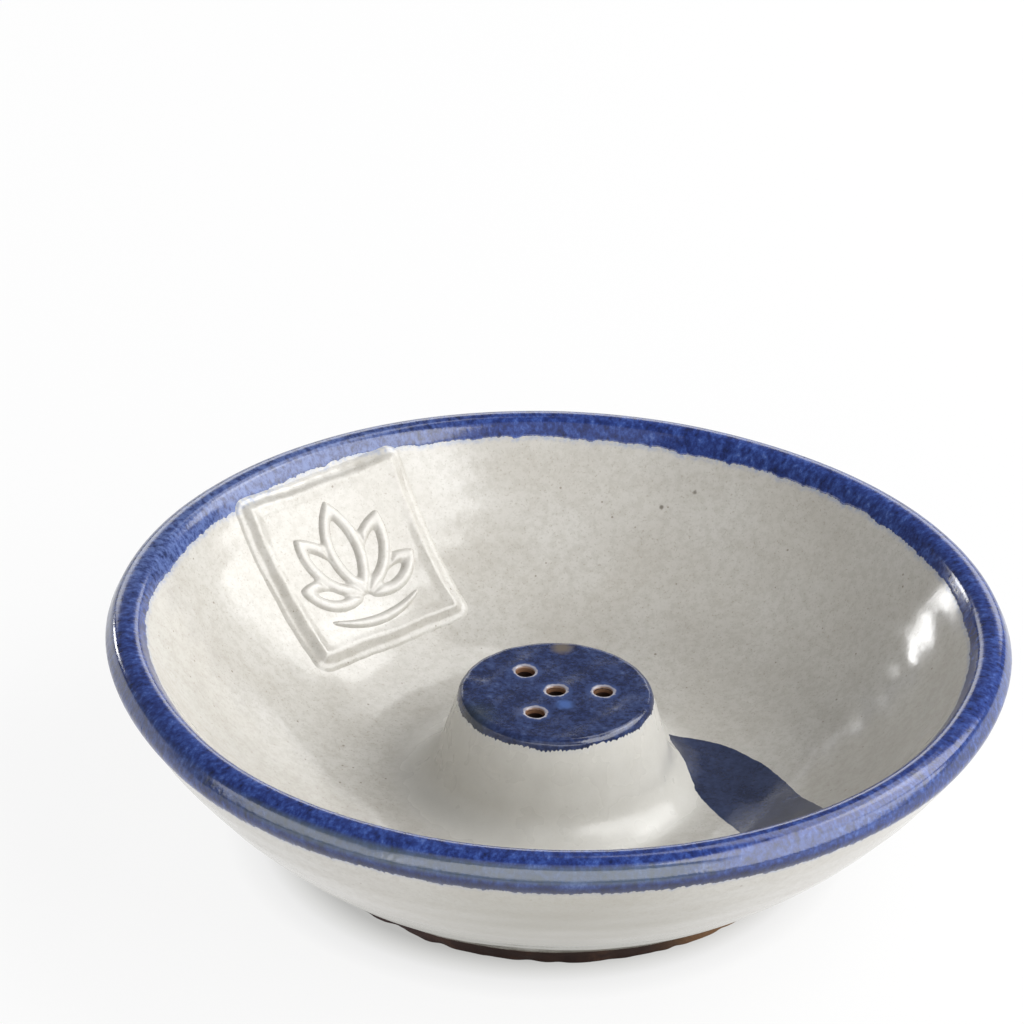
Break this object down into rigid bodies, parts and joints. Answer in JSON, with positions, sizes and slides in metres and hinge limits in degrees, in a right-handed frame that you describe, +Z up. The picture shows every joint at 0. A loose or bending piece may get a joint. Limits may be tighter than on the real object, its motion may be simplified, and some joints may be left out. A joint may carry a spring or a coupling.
{
  "type": "incense burner",
  "caption": "Round glazed stoneware incense dish with a flared stick holder in the middle, a blue rim, a stamped relief pad and a turned foot.",
  "frame": {"origin": "centre of the foot ring's base plane, on the table", "axes": "+Z up along the dish's axis; the stamped pad is on the inside wall at the back left (-X, +Y)"},
  "size_m": [0.15, 0.15, 0.0404],
  "materials": {
    "bare_clay": "matt",
    "white_glaze": "gloss",
    "blue_glaze": "gloss"
  },
  "bodies": {
    "root": {"dish_body": "bare_clay", "foot_ring": "bare_clay", "stick_boss": "bare_clay", "relief_tile": "white_glaze", "lotus_relief": "white_glaze", "white_glaze_inside": "white_glaze", "white_glaze_outside": "white_glaze", "blue_rim_glaze": "blue_glaze", "blue_cap_glaze": "blue_glaze", "blue_leaf_glaze": "blue_glaze"}
  },
  "joints": []
}
